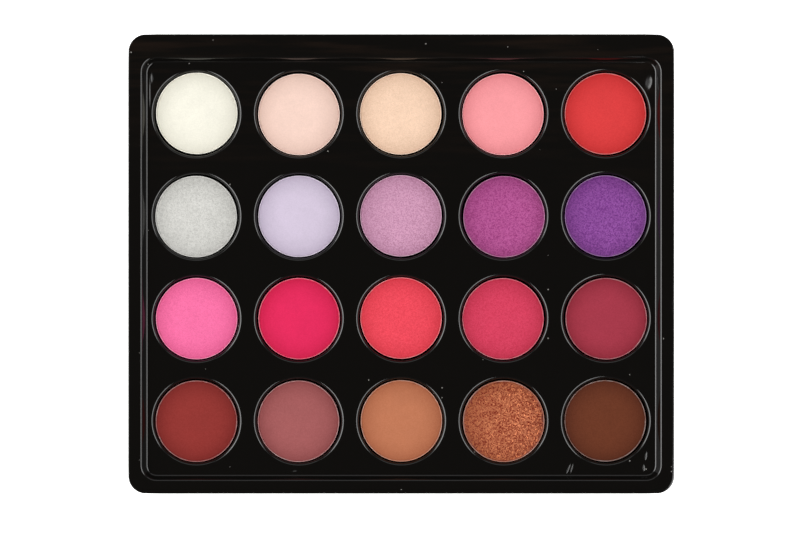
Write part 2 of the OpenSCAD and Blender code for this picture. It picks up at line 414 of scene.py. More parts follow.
# %% Pressed grain
grain, start, end = new_group(
    "pressed_grain",
    [("Grain", 3.5), ("Cloth", 1.0), ("Mottle", 0.25)],
    [("Height", "NodeSocketFloat"), ("Shade", "NodeSocketFloat")],
)
CLOTH_DEPTH = 0.06
where = millimetres(grain)
soft = noise_node(grain, where, start.outputs["Grain"], 5.0, 0.65)
threads = math_node(grain, "MULTIPLY", start.outputs["Cloth"], 2 * math.pi)
weave = vector_node(grain, "SINE", vector_node(grain, "SCALE", where, scale=threads))
parts = grain.nodes.new("ShaderNodeSeparateXYZ")
grain.links.new(weave, parts.inputs[0])
cloth = math_node(grain, "MULTIPLY", parts.outputs["X"], parts.outputs["Y"])
mottle = noise_node(grain, where, start.outputs["Mottle"], 3.0, 0.6)
height = math_node(grain, "MULTIPLY_ADD", cloth, CLOTH_DEPTH, soft)
grain.links.new(height, end.inputs["Height"])
tone = math_node(grain, "MULTIPLY_ADD", soft, 0.5, mottle)
grain.links.new(remap(grain, tone, 0.45, 1.05, 0.0, 1.0), end.inputs["Shade"])
print("made:", grain.name)

# %% [markdown]
# Shimmer shades hold flakes of mica that lie at slightly different angles, so each flake catches the light
# by itself. A Voronoi pattern gives every flake one colour, which serves both as its glint and as its tilt.

# %% Mica
mica, start, end = new_group(
    "mica_flakes",
    [("Flake", 0.14), ("Tilt", 0.3)],
    [("Glint", "NodeSocketFloat"), ("Normal", "NodeSocketVector")],
)
where = millimetres(mica)
cells = mica.nodes.new("ShaderNodeTexVoronoi")
mica.links.new(where, cells.inputs["Vector"])
mica.links.new(math_node(mica, "DIVIDE", 1.0, start.outputs["Flake"]), cells.inputs["Scale"])
split = mica.nodes.new("ShaderNodeSeparateColor")
mica.links.new(cells.outputs["Color"], split.inputs[0])
mica.links.new(split.outputs[0], end.inputs["Glint"])
centred = vector_node(mica, "SUBTRACT", cells.outputs["Color"], (0.5, 0.5, 0.5))
leaned = vector_node(mica, "SCALE", centred, scale=start.outputs["Tilt"])
surface = mica.nodes.new("ShaderNodeNewGeometry")
total = vector_node(mica, "ADD", surface.outputs["Normal"], leaned)
mica.links.new(vector_node(mica, "NORMALIZE", total), end.inputs["Normal"])
print("made:", mica.name)

# %% [markdown]
# Every material below starts from the same few steps: a plain Principled shader, a placed group with its
# own values, a mix of two colours and a bump. They are helpers, so that a finish reads as a short recipe.

# %% Material helpers
def new_material(name):
    material = bpy.data.materials.new(name)
    material.use_nodes = True
    tree = material.node_tree
    return material, tree, tree.nodes["Principled BSDF"]


def place_group(tree, group, **values):
    n = tree.nodes.new("ShaderNodeGroup")
    n.node_tree = group
    for label, value in values.items():
        n.inputs[label].default_value = value
    return n


def mix_colours(tree, factor, first, second, blend="MIX"):
    n = tree.nodes.new("ShaderNodeMix")
    n.data_type = "RGBA"
    n.blend_type = blend
    feed(tree, factor, n.inputs[0])
    for socket, value in ((n.inputs[6], first), (n.inputs[7], second)):
        feed(tree, (*value, 1.0) if isinstance(value, tuple) else value, socket)
    return n.outputs[2]


def bump(tree, shader, height, strength, distance, normal=None):
    n = tree.nodes.new("ShaderNodeBump")
    n.inputs["Strength"].default_value = strength
    n.inputs["Distance"].default_value = distance
    feed(tree, height, n.inputs["Height"])
    feed(tree, normal, n.inputs["Normal"])
    tree.links.new(n.outputs[0], shader.inputs["Normal"])


print("groups to place:", [group.name for group in bpy.data.node_groups])

# %% [markdown]
# ## Finishes of the case
# The formed sheet is high-gloss black styrene: nearly black by itself, smooth enough to mirror the lights,
# with a trace of dust, a few smears, and faint warm streaks towards the rear. The forming marks only need a
# height, and a little extra roughness.

# %% Gloss black sheet
SHEET_BLACK = (0.0026, 0.0022, 0.0018)
WARM_BLACK = (0.0075, 0.0046, 0.0032)
DUST_COLOUR = (0.26, 0.25, 0.23)
STYRENE_IOR = 1.53
MARK_HEIGHT = 11.0
DULLED = 0.5


def gloss_black():
    material, tree, shader = new_material("gloss_black_sheet")
    wave = place_group(tree, uneven, Wave=0.045, Fine=1.2)
    specks = place_group(tree, dust, Density=0.02, Cell=2.6, Size=0.085)
    place = tree.nodes.new("ShaderNodeSeparateXYZ")
    tree.links.new(millimetres(tree), place.inputs[0])
    rearwards = remap(tree, place.outputs["Y"], 20.0, 70.0, 0.0, 1.0)
    warmth = math_node(tree, "MULTIPLY", wave.outputs["Streak"], rearwards)
    sheet = mix_colours(tree, warmth, SHEET_BLACK, WARM_BLACK)
    colour = mix_colours(tree, specks.outputs["Mask"], sheet, DUST_COLOUR)
    tree.links.new(colour, shader.inputs["Base Color"])
    rough = remap(tree, wave.outputs["Smear"], 0.0, 1.0, 0.055, 0.11)
    pinched = place_group(tree, marks)
    rough = math_node(tree, "MULTIPLY_ADD", pinched.outputs["Mask"], DULLED, rough)
    rough = math_node(tree, "MULTIPLY_ADD", specks.outputs["Mask"], DULLED, rough)
    tree.links.new(rough, shader.inputs["Roughness"])
    shader.inputs["IOR"].default_value = STYRENE_IOR
    relief = math_node(tree, "MULTIPLY_ADD", pinched.outputs["Height"], MARK_HEIGHT, wave.outputs["Height"])
    bump(tree, shader, relief, 0.35, 0.12 * MM)
    return material


sheet_finish = gloss_black()
print("finish:", sheet_finish.name)

# %% [markdown]
# The base under the sheet is the same black, with the fine satin texture of its mould. The glue is milky and
# cloudy, with a slight shine.

# %% Satin black and glue
MOULDED_BLACK = (0.006, 0.006, 0.0065)
RUBBED_BLACK = (0.011, 0.011, 0.0115)
GLUE_MILK = (0.6, 0.6, 0.55)
GLUE_CLOUD = (0.75, 0.75, 0.7)


def satin_black():
    material, tree, shader = new_material("satin_black_moulding")
    wave = place_group(tree, uneven, Wave=0.03, Fine=5.0)
    spark = noise_node(tree, millimetres(tree), 3.5, 3.0, 0.6)
    colour = mix_colours(tree, wave.outputs["Smear"], MOULDED_BLACK, RUBBED_BLACK)
    tree.links.new(colour, shader.inputs["Base Color"])
    tree.links.new(remap(tree, spark, 0.3, 0.7, 0.32, 0.42), shader.inputs["Roughness"])
    bump(tree, shader, spark, 0.25, 0.03 * MM)
    return material


def dried_glue():
    material, tree, shader = new_material("dried_glue")
    cloud = noise_node(tree, millimetres(tree), 0.8, 3.0)
    tree.links.new(mix_colours(tree, cloud, GLUE_MILK, GLUE_CLOUD), shader.inputs["Base Color"])
    shader.inputs["Roughness"].default_value = 0.35
    return material


base_finish = satin_black()
glue_finish = dried_glue()
print("finishes:", base_finish.name, glue_finish.name)

# %% [markdown]
# ## The clear film
# Clear film has almost no colour: it is seen by what it mirrors, more at a slant than head on. A surface
# that mirrors like a window and lets the rest through is a white mirror whose opacity follows the Fresnel
# curve. It keeps the light under it natural, which true refraction through two faces would not. Along its
# cut edges the sheet gathers light and looks a darker, bluish grey, so those faces carry a mark: a bluish
# tint of the film's own, and painted shade, as a darker colour and a stronger opacity.

# %% Film material
FILM_TINT = (0.93, 0.95, 0.96)
CUT_EDGE_TINT_AND_SHADE = (0.34, 0.38, 0.40)
FILM_IOR = 1.42


def clear_film():
    material, tree, shader = new_material("clear_film")
    wave = place_group(tree, uneven, Wave=0.02, Fine=0.12)
    specks = place_group(tree, dust, Density=0.02, Cell=2.2, Size=0.05)
    cut = tree.nodes.new("ShaderNodeAttribute")
    cut.attribute_name = "cut"
    # The cut faces take a darker, bluish grey: the film's own tint, and painted shade.
    tree.links.new(mix_colours(tree, cut.outputs["Fac"], FILM_TINT, CUT_EDGE_TINT_AND_SHADE), shader.inputs["Base Color"])
    shader.inputs["Metallic"].default_value = 1.0
    tree.links.new(remap(tree, wave.outputs["Smear"], 0.0, 1.0, 0.03, 0.09), shader.inputs["Roughness"])
    slant = tree.nodes.new("ShaderNodeFresnel")
    slant.inputs["IOR"].default_value = FILM_IOR
    clear = math_node(tree, "MULTIPLY_ADD", slant.outputs[0], 0.65, 0.008)
    dusty = math_node(tree, "MAXIMUM", clear, math_node(tree, "MULTIPLY", specks.outputs["Mask"], 0.25))
    # Cut faces are half opaque, which adds to their painted shade.
    edged = math_node(tree, "MULTIPLY_ADD", cut.outputs["Fac"], 0.5, dusty)
    tree.links.new(edged, shader.inputs["Alpha"])
    bump(tree, shader, wave.outputs["Height"], 0.25, 0.25 * MM)
    return material


film_finish = clear_film()
print("finish:", film_finish.name)

# %% [markdown]
# ## Powder finishes
# Every cake takes the same recipe with its own colour and its own kind of sparkle. Matte cakes only scatter
# light. Satin ones hold a little fine mica, shimmer and pearl ones hold more, and the glitter one holds
# coarse bright flecks. Flecks mirror white lights, so each flake's colour carries a painted glint, paler than
# the powder: it changes the weak parts of the colour more than the strong ones. Colours are written as they
# look in the light of this studio, and one function turns them into what the powder itself reflects.

# %% Powder colours
POWDERS = {
    "ivory": ((249, 246, 231), "matte"),
    "shell_pink": ((248, 215, 201), "matte"),
    "champagne": ((247, 212, 185), "satin"),
    "coral_pink": ((253, 160, 165), "matte"),
    "poppy": ((222, 67, 68), "matte"),
    "silver": ((210, 209, 204), "shimmer"),
    "lavender": ((213, 200, 220), "matte"),
    "orchid": ((204, 151, 180), "shimmer"),
    "magenta": ((174, 83, 142), "pearl"),
    "violet": ((134, 73, 148), "pearl"),
    "bubblegum": ((248, 115, 167), "satin"),
    "raspberry": ((229, 48, 95), "matte"),
    "coral_red": ((237, 75, 91), "satin"),
    "cranberry": ((213, 65, 94), "satin"),
    "maroon": ((166, 60, 76), "matte"),
    "brick": ((146, 57, 53), "matte"),
    "mauve": ((164, 94, 94), "matte"),
    "tan": ((192, 121, 89), "matte"),
    "bronze_glitter": ((168, 95, 67), "glitter"),
    "chocolate": ((108, 59, 41), "matte"),
}
# Each finish: flake size in mm, flake tilt, how much of the surface mirrors, contrast, roughness
FINISHES = {
    "matte": (0.26, 0.08, 0.0, 0.04, 0.85),
    "satin": (0.27, 0.15, 0.10, 0.10, 0.6),
    "shimmer": (0.28, 0.2, 0.2, 0.2, 0.5),
    "pearl": (0.3, 0.22, 0.25, 0.205, 0.48),
    "glitter": (0.32, 0.3, 0.34, 0.39, 0.4),
}
BRIGHTNESS = 1.38
HAZE = 0.007
print("shades:", len(POWDERS), "finishes:", list(FINISHES))

# %% [markdown]
# Each cake's colour changes in three ways: with its grain and mottling, darker towards its edge, which is
# painted shade, and from flake to flake, partly by the flakes' own tone and partly by a painted glint. In the
# finishes that mirror, the flakes also tilt the surface. Only colour and sparkle differ from cake to cake, so
# one function makes all twenty materials.

# %% Powder materials
def reflected(seen):
    """What a powder reflects, as a linear colour, from how it looks under the studio's light and its haze."""
    linear = []
    for value in seen:
        share = value / 255
        straight = share / 12.92 if share <= 0.04045 else ((share + 0.055) / 1.055) ** 2.4
        linear.append(max(0.004, straight / BRIGHTNESS - HAZE))
    return tuple(linear)


def shaded(colour, factor):
    return tuple(min(1.0, value * factor) for value in colour)


GLINT_LIFT = 0.25
WIDEST_SPAN = 0.95
# Painted shade at the cake's edge: a power that deepens the colour, and the share of it that is kept.
EDGE_SHADE_POWER = 1.12
EDGE_SHADE_SHARE = 0.80


def powder_material(shade):
    seen, finish = POWDERS[shade]
    flake, tilt, mirror, contrast, rough = FINISHES[finish]
    material, tree, shader = new_material("pressed_" + shade)
    body = reflected(seen)
    cake = place_group(tree, grain, Grain=3.2, Cloth=1.1, Mottle=0.2)
    flakes = place_group(tree, mica, Flake=flake, Tilt=tilt)
    lit = mix_colours(tree, cake.outputs["Shade"], shaded(body, 0.95), shaded(body, 1.06))
    # Painted shade: towards the cake's edge the colour is mixed into a darker copy of itself.
    painted_edge_shade = tree.nodes.new("ShaderNodeAttribute")
    painted_edge_shade.attribute_name = "edge"
    edge_shade_colour = tuple(value ** EDGE_SHADE_POWER * EDGE_SHADE_SHARE for value in body)
    base = mix_colours(tree, painted_edge_shade.outputs["Fac"], lit, edge_shade_colour)
    # Painted glint: each flake's colour is raised or lowered, most in the colour's weak parts, as mirrored
    # white light would be.
    lift = 1 + GLINT_LIFT * contrast
    spans = [min(WIDEST_SPAN, contrast / (value / 255 + 0.055)) for value in seen]
    dim = tuple(lift * (1 - span) for span in spans)
    bright = tuple(lift * (1 + span) for span in spans)
    glint = mix_colours(tree, flakes.outputs["Glint"], dim, bright)
    tree.links.new(mix_colours(tree, 1.0, base, glint, "MULTIPLY"), shader.inputs["Base Color"])
    shader.inputs["Specular IOR Level"].default_value = 0.15
    shader.inputs["Roughness"].default_value = rough
    if mirror > 0:
        shining = remap(tree, flakes.outputs["Glint"], 1 - mirror, 1.0, 0.0, 0.9)
        tree.links.new(shining, shader.inputs["Metallic"])
        bump(tree, shader, cake.outputs["Height"], 0.2, 0.05 * MM, flakes.outputs["Normal"])
    else:
        bump(tree, shader, cake.outputs["Height"], 0.6, 0.06 * MM)
    return material


powder_finish = {shade: powder_material(shade) for shade in SHADES}
print("powders:", len(powder_finish))

# %% [markdown]
# The pans are drawn metal, but their rims carry a dusting of their own powder, so each pan has a material of
# its own: metal where it is bare, and a paler tint of the powder where it is not.

# %% Pan metal
BARE_METAL = (0.52, 0.50, 0.48)
WORN_METAL = (0.34, 0.33, 0.32)
TINT_LIFT = 1.25
TINT_SHARE = 0.85
TINT_PALER = 0.035


def pan_metal(shade):
    """Drawn metal, with a dusting of the pan's own powder over most of its rim."""
    material, tree, shader = new_material("pan_metal_" + shade)
    tint = shaded(reflected(POWDERS[shade][0]), TINT_LIFT)
    tint = tuple(value * TINT_SHARE + TINT_PALER for value in tint)
    wave = place_group(tree, uneven, Wave=0.4, Fine=6.0)
    patchy = noise_node(tree, millimetres(tree), 0.35, 4.0, 0.6)
    dusting = remap(tree, patchy, 0.35, 0.6, 0.7, 1.0)
    metal = mix_colours(tree, wave.outputs["Smear"], BARE_METAL, WORN_METAL)
    tree.links.new(mix_colours(tree, dusting, metal, tint), shader.inputs["Base Color"])
    tree.links.new(math_node(tree, "SUBTRACT", 1.0, dusting), shader.inputs["Metallic"])
    tree.links.new(remap(tree, dusting, 0.0, 1.0, 0.3, 0.75), shader.inputs["Roughness"])
    bump(tree, shader, wave.outputs["Height"], 0.15, 0.05 * MM)
    return material


metal_finish = {shade: pan_metal(shade) for shade in SHADES}
print("pan metals:", len(metal_finish))

# %% [markdown]
# ## The formed tray
# The sheet is drawn down over a mould: a flange, a rounded step, a flat field and a round-lipped well for
# every pan. A flat plate with holes cut in it would shade badly at the lips, so each well is a square cell
# whose inner loops are round and whose outer loop is the cell's edge. The points along an edge crowd
# towards its ends, which gives the rounded corners of the field enough of them.

# %% Cells and rounded outlines
SIDE_STEPS = 40
SPREAD = [math.sin(math.pi / 2 * (2 * i / SIDE_STEPS - 1)) for i in range(SIDE_STEPS)]
x_edges = [field_left] + [(a + b) / 2 for a, b in zip(columns, columns[1:])] + [field_right]
y_edges = [field_front] + [(a + b) / 2 for a, b in zip(rows, rows[1:])] + [field_rear]


def onto_field(x, y):
    """Moves a point at a corner of the field onto the rounded corner. Also gives the outward direction."""
    r = STEP_CORNER_R
    inner_x = min(max(x, field_left + r), field_right - r)
    inner_y = min(max(y, field_front + r), field_rear - r)
    away = Vector((x - inner_x, y - inner_y))
    if abs(away.x) > 1e-9 and abs(away.y) > 1e-9:
        away.normalize()
        return inner_x + r * away.x, inner_y + r * away.y, away
    return x, y, away.normalized() if away.length > 1e-9 else Vector((0, 0))


def cell_edge(column, row):
    """Points round one cell's edge, anticlockwise from its front left corner."""
    x0, x1 = x_edges[column], x_edges[column + 1]
    y0, y1 = y_edges[row], y_edges[row + 1]
    across = [(x0 + x1) / 2 + s * (x1 - x0) / 2 for s in SPREAD]
    along = [(y0 + y1) / 2 + s * (y1 - y0) / 2 for s in SPREAD]
    points = [(x, y0) for x in across] + [(x1, y) for y in along]
    points += [(x0 + x1 - x, y1) for x in across] + [(x0, y0 + y1 - y) for y in along]
    return points


def field_outline():
    """Points round the whole field, anticlockwise, each with its outward direction."""
    points = []
    for column in range(len(columns)):
        points += cell_edge(column, 0)[:SIDE_STEPS]
    for row in range(len(rows)):
        points += cell_edge(len(columns) - 1, row)[SIDE_STEPS:2 * SIDE_STEPS]
    for column in reversed(range(len(columns))):
        points += cell_edge(column, len(rows) - 1)[2 * SIDE_STEPS:3 * SIDE_STEPS]
    for row in reversed(range(len(rows))):
        points += cell_edge(0, row)[3 * SIDE_STEPS:]
    return [onto_field(x, y) for x, y in points]


outline = field_outline()
print("outline points:", len(outline))


def step_ring(out, z):
    """A loop at a distance outside the field's edge."""
    return [(x + n.x * out, y + n.y * out, z) for x, y, n in outline]


def case_ring(inset, z, width=CASE_W, depth=CASE_D):
    """A loop round the case, drawn in by an inset, in step with the field's outline."""
    r = CORNER_R - inset
    ring = []
    for x, y, n in outline:
        if abs(n.x) > 1e-6 and abs(n.y) > 1e-6:
            cx = math.copysign(width / 2 - CORNER_R, n.x)
            cy = math.copysign(depth / 2 - CORNER_R, n.y)
            ring.append((cx + r * n.x, cy + r * n.y, z))
        elif abs(n.x) > 0.5:
            ring.append((math.copysign(width / 2 - inset, n.x), y, z))
        else:
            ring.append((x, math.copysign(depth / 2 - inset, n.y), z))
    return ring


# %% Tray sections
rise = STEP_DROP - 2 * STEP_R
slope = math.degrees(math.atan2(rise, STEP_RUN) + math.asin(2 * STEP_R / math.hypot(STEP_RUN, rise)))
print("step slope:", round(slope, 1))


def step_profile(thick, steps=9):
    """(distance out, height) from the field up to the flange, for the top face or for the underside."""
    low = arc(0, FIELD_Z + STEP_R, STEP_R + thick, 270, 270 + slope, steps)
    high = arc(STEP_RUN, FLANGE_Z - STEP_R, STEP_R - thick, 90 + slope, 90, steps)
    return low + high


def well_profile(thick, steps):
    """(radius, height) from the lip down to the middle of the floor."""
    lip = arc(LIP_OUTER_R, FIELD_Z - LIP_R, LIP_R - thick, 90, 180, steps)
    foot_z = WELL_BOTTOM_Z + SHEET_T + FOOT_R
    foot = arc(WELL_R - FOOT_R, foot_z, FOOT_R + thick, 360, 270, max(3, steps // 2))
    floor_z = WELL_BOTTOM_Z + SHEET_T - thick
    return lip + foot + [(WELL_R * 0.6, floor_z), (WELL_R * 0.25, floor_z)]


def tray_face(mesh, thick, steps, rings):
    """One face of the sheet inside the field's edge. Gives back the loop of vertices along that edge."""
    edge_vertices = {}
    field_z = FIELD_Z - thick
    for row, cy in enumerate(rows):
        for column, cx in enumerate(columns):
            border = []
            for x, y in cell_edge(column, row):
                px, py, n = onto_field(x, y)
                key = (round(px, 7), round(py, 7))
                if key not in edge_vertices:
                    edge_vertices[key] = mesh.verts.new((px, py, field_z))
                border.append(edge_vertices[key])
            count = len(border)
            turn = [math.radians(225 + 360 * i / count) for i in range(count)]
            loops = [border]
            for ring in range(1, rings + 1):
                share = ring / (rings + 1)
                points = []
                for i in range(count):
                    rim = Vector((cx + LIP_OUTER_R * math.cos(turn[i]), cy + LIP_OUTER_R * math.sin(turn[i])))
                    spot = border[i].co.xy.lerp(rim, share)
                    points.append((spot.x, spot.y, field_z))
                loops.append(add_loop(mesh, points))
            for radius, z in well_profile(thick, steps):
                around = [(cx + radius * math.cos(a), cy + radius * math.sin(a), z) for a in turn]
                loops.append(add_loop(mesh, around))
            join_loops(mesh, loops, close_end=True)
    return [edge_vertices[(round(x, 7), round(y, 7))] for x, y, n in outline]


# %% [markdown]
# A formed sheet sags a little between its wells, and thin webs are pulled at the corners of the field. Both
# are small moves of the finished points, which fade out down inside the wells. On the flange the sheet only
# ever sinks, so that it stays under the height of the design.

# %% Settle the sheet
SAG = 0.05 * MM
SAG_PER_METRE = 22
# Each web: place, size and depth
WEBS = [
    (field_left + 2.6 * MM, field_rear - 2.9 * MM, 1.1 * MM, -0.16 * MM),
    (field_right - 2.8 * MM, field_rear - 2.6 * MM, 1.4 * MM, -0.2 * MM),
    (field_right - 3.0 * MM, field_front + 3.2 * MM, 1.2 * MM, -0.16 * MM),
]


def settle_sheet(mesh):
    for v in mesh.verts:
        high = (v.co.z - FIELD_Z + 0.8 * MM) / (1.2 * MM)
        weight = min(1.0, max(0.0, high))
        if weight == 0.0:
            continue
        wave = noise.noise(Vector((v.co.x * SAG_PER_METRE, v.co.y * SAG_PER_METRE, 0.3))) * SAG
        if v.co.z > FLANGE_Z - 0.7 * MM:
            wave = -abs(wave) * 0.5
        for x, y, size, depth in WEBS:
            away = math.hypot(v.co.x - x, v.co.y - y) / size
            wave += depth * math.exp(-away * away)
        v.co.z += wave * weight


print("webs:", len(WEBS))

# %% Build the tray
# The die-cut edge in millimetres: how far in from the outline, and how far below the flange
RIM_EDGE = [(1.2, 0.0), (0.2, 0.0), (0.07, -0.03), (0.0, -0.11), (0.0, -0.52), (0.08, -0.6), (1.2, -0.6)]


def build_tray():
    mesh = bmesh.new()
    upper = tray_face(mesh, 0.0, 10, 5)
    lower = tray_face(mesh, SHEET_T, 5, 1)
    ring = [upper]
    for out, z in step_profile(0.0)[1:]:
        ring.append(add_loop(mesh, step_ring(out, z)))
    for inset, z in RIM_EDGE:
        ring.append(add_loop(mesh, case_ring(inset * MM, FLANGE_Z + z * MM)))
    for out, z in reversed(step_profile(SHEET_T, 5)[1:]):
        ring.append(add_loop(mesh, step_ring(out, z)))
    ring.append(lower)
    join_loops(mesh, ring)
    settle_sheet(mesh)
    return finish_piece("formed_sheet", mesh, sheet_finish, 50)


tray = build_tray()
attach(tray, "case")
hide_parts("formed_tray")

# %% [markdown]
# ## The pans
# A pan is drawn from thin sheet: a rounded foot, an upright wall and a narrow rim that shows as a bright
# ring round the powder. Turning one profile makes it, and each pan is turned about its own seat, which is a
# little to one side of the middle of its well, as glued pans are.

# %% Build the pans
PAN_WALL = 0.3 * MM
PAN_SEGMENTS = 128


def pan_profile():
    outer = arc(PAN_R - FOOT_R, PAN_Z + FOOT_R, FOOT_R, 270, 360, 6)
    rim_r = PAN_WALL / 2
    rim = arc(PAN_R - rim_r, RIM_Z - rim_r, rim_r, 0, 180, 6)
    inner = arc(PAN_R - FOOT_R, PAN_Z + FOOT_R, FOOT_R - PAN_WALL, 360, 270, 5)
    return outer + rim + inner


def build_pan(shade):
    mesh = bmesh.new()
    loops = turned(mesh, pan_profile(), seats[shade], PAN_SEGMENTS)
    join_loops(mesh, loops, close_start=True, close_end=True)
    pan = finish_piece("pan_of_" + shade, mesh, metal_finish[shade], 40)
    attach(pan, "case")
    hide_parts("pan_" + shade)
    return pan


pans = [build_pan(shade) for shade in SHADES]
print("pans:", len(pans))

# %% [markdown]
# ## The powder cakes
# Powder is pressed by a slightly hollow die, so each cake is a low dome whose edge rolls down just inside
# the rim. Its top is many rings of points, which lets a little noise roughen it, and the last rings are
# nibbled at random places where crumbs have broken off. Each point also carries how near the edge it is,
# and the material uses that for painted shade: the cake's colour darkens towards the wall of the pan.

# %% Build the cakes
CAKE_R = PAN_R - PAN_WALL
EDGE_DROP = 0.15 * MM
CROWN = 0.45 * MM
ROLL_FROM = 0.955
ROLL_DROP = 0.12 * MM
CRUMBS_FROM = 0.93
# Where the painted edge shade begins, as a share of the cake's radius.
EDGE_SHADE_FROM = 0.35
FIRST_RING = 0.03
# How rough the top is: waves per metre, and their height
ROUGHNESS = [(160, 0.02 * MM), (900, 0.008 * MM)]
CAKE_RINGS = 26
CAKE_SEGMENTS = 144


def build_cake(shade, seed):
    dice = random.Random(seed)
    cx, cy = seats[shade]
    crumbs = [(dice.uniform(0, 2 * math.pi), dice.uniform(0.02, 0.09), dice.uniform(0.05, 0.2) * MM)
              for crumb in range(dice.randint(5, 10))]
    drift = dice.uniform(0, 50)
    mesh = bmesh.new()
    loops = []
    for ring in range(CAKE_RINGS + 1):
        share = FIRST_RING + (1 - FIRST_RING) * (ring / CAKE_RINGS) ** 0.7
        loop = []
        for i in range(CAKE_SEGMENTS):
            a = 2 * math.pi * i / CAKE_SEGMENTS
            r = CAKE_R * share
            z = RIM_Z - EDGE_DROP + CROWN * (1 - share * share)
            rolled = max(0.0, (share - ROLL_FROM) / (1 - ROLL_FROM))
            crumbling = max(0.0, (share - CRUMBS_FROM) / (1 - CRUMBS_FROM))
            z -= ROLL_DROP * rolled * rolled
            for place_angle, width, depth in crumbs:
                off = (a - place_angle + math.pi) % (2 * math.pi) - math.pi
                z -= depth * math.exp(-(off / width) ** 2) * crumbling
            x = cx + r * math.cos(a)
            y = cy + r * math.sin(a)
            for pace, size in ROUGHNESS:
                z += noise.noise(Vector((x * pace, y * pace, drift))) * size
            loop.append((x, y, min(z, RIM_Z + CROWN - EDGE_DROP)))
        loops.append(add_loop(mesh, loop))
    foot = arc(PAN_R - FOOT_R, PAN_Z + FOOT_R, FOOT_R - PAN_WALL, 360, 270, 4)
    loops += turned(mesh, foot, seats[shade], CAKE_SEGMENTS)
    join_loops(mesh, loops, close_start=True, close_end=True)
    cake = finish_piece("cake_of_" + shade, mesh, powder_finish[shade], 60)
    # The edge value sets the powder's painted shade, darker towards the wall of the pan.
    edge = cake.data.attributes.new("edge", "FLOAT", "POINT")
    for v in cake.data.vertices:
        share = math.hypot(v.co.x - cx, v.co.y - cy) / CAKE_R
        edge.data[v.index].value = max(0.0, (share - EDGE_SHADE_FROM) / (1 - EDGE_SHADE_FROM)) ** 2.2
    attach(cake, "case")
    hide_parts("powder_" + shade)
    return cake


FIRST_SEED = 40
cakes = [build_cake(shade, FIRST_SEED + i) for i, shade in enumerate(SHADES)]
print("cakes:", len(cakes))

# %% [markdown]
# ## The base
# The base is a shallow moulded dish with a rounded lower edge. Only its wall and its underside show, but
# it is made whole, with its inner wall and floor. The pocket for the cover's glued flap is cut with a
# Boolean, because it crosses the rounded edge at the rear.

# %% Base sizes
base_low, base_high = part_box("base_shell")
flap_low, flap_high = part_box("hinge_flap")
spine_low, spine_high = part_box("hinge_spine")
lid_low, lid_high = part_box("lid_cover")
BASE_SETBACK = base_low[0] - tray_low[0]
BASE_WALL = 2.0 * MM
BASE_FLOOR = 1.8 * MM
BASE_EDGE_R = 1.2 * MM
POCKET_ROOM = 0.15 * MM
BASE_SHARP = 30
print("base setback mm:", round(BASE_SETBACK / MM, 2))

# %% Build the base
def base_profile():
    """(inset from the flange's edge, height) from the underside, up the wall and down inside to the floor."""
    lower = arc(BASE_SETBACK + BASE_EDGE_R, BASE_EDGE_R, BASE_EDGE_R, 270, 180, 8)
    top = base_high[2]
    rim = [(BASE_SETBACK, top - 1.1 * MM), (BASE_SETBACK + 0.12 * MM, top - 1.0 * MM),
           (BASE_SETBACK + 0.12 * MM, top - 0.8 * MM), (BASE_SETBACK, top - 0.7 * MM), (BASE_SETBACK, top)]
    inside = BASE_SETBACK + BASE_WALL
    return lower + rim + [(inside, top), (inside, BASE_FLOOR)]


def pocket_cutter():
    """A block in the shape of the flap's pocket, open to below and to the rear."""
    cutter_mesh = bmesh.new()
    front = flap_low[1] - POCKET_ROOM
    rear = CASE_D
    half = flap_high[0] + POCKET_ROOM
    top = flap_high[2] + POCKET_ROOM
    corners = [(-half, front), (half, front), (half, rear), (-half, rear)]
    loops = [add_loop(cutter_mesh, [(x, y, z) for x, y in corners]) for z in (-0.01, top)]
    join_loops(cutter_mesh, loops, close_start=True, close_end=True)
    bmesh.ops.recalc_face_normals(cutter_mesh, faces=cutter_mesh.faces)
    cutter_data = bpy.data.meshes.new("pocket_cutter")
    cutter_mesh.to_mesh(cutter_data)
    cutter_mesh.free()
    cutter = bpy.data.objects.new("pocket_cutter", cutter_data)
    bpy.context.scene.collection.objects.link(cutter)
    return cutter


def build_base():
    mesh = bmesh.new()
    loops = [add_loop(mesh, case_ring(inset, z)) for inset, z in base_profile()]
    join_loops(mesh, loops, close_start=True, close_end=True)
    piece = finish_piece("moulded_base", mesh, base_finish, BASE_SHARP)
    cutter = pocket_cutter()
    cut = piece.modifiers.new("pocket", "BOOLEAN")
    cut.operation = "DIFFERENCE"
    cut.solver = "EXACT"
    cut.object = cutter
    shown = piece.evaluated_get(bpy.context.evaluated_depsgraph_get())
    data = bpy.data.meshes.new_from_object(shown)
    piece.modifiers.clear()
    piece.data = data
    data.shade_smooth()
    data.set_sharp_from_angle(angle=math.radians(BASE_SHARP))
    bpy.data.objects.remove(cutter)
    return piece


base = build_base()
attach(base, "case")
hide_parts("base_shell")

# %% [markdown]
# ## The cover
# The cover is one piece of clear film, formed with a shallow plug that seats inside the tray's step. It
# lies open here, upside down, so the plug stands up. Its two creases are thinner lines that bend, and each
# is a narrow strip between the pieces on either side.

# %% Cover sizes
FILM_T = flap_high[2] - flap_low[2]
creases = {joint["name"]: joint["pos_m"][1] for joint in frame["joints"]}
REAR_CREASE_Y = creases["spine_fold"]
LID_CREASE_Y = creases["cover_fold"]
FLIP_Y = REAR_CREASE_Y + LID_CREASE_Y
PLUG_RISE = lid_high[2]
PLUG_FOOT_OUT = 0.8 * MM
PLUG_HEAD_OUT = 1.5 * MM
TAB_W = 26 * MM
HINGE_HALF = spine_high[0]
STRIP = 0.6 * MM
TAB_REACH = lid_high[1] - (FLIP_Y + CASE_D / 2)
print("creases mm:", round(REAR_CREASE_Y / MM, 2), round(LID_CREASE_Y / MM, 2))

# %% [markdown]
# The lid's edge follows the case's outline, so the ring of the case is used again, pulled out for the thumb
# tab and straightened at the crease. It is worked out for the closed cover, and then turned over.

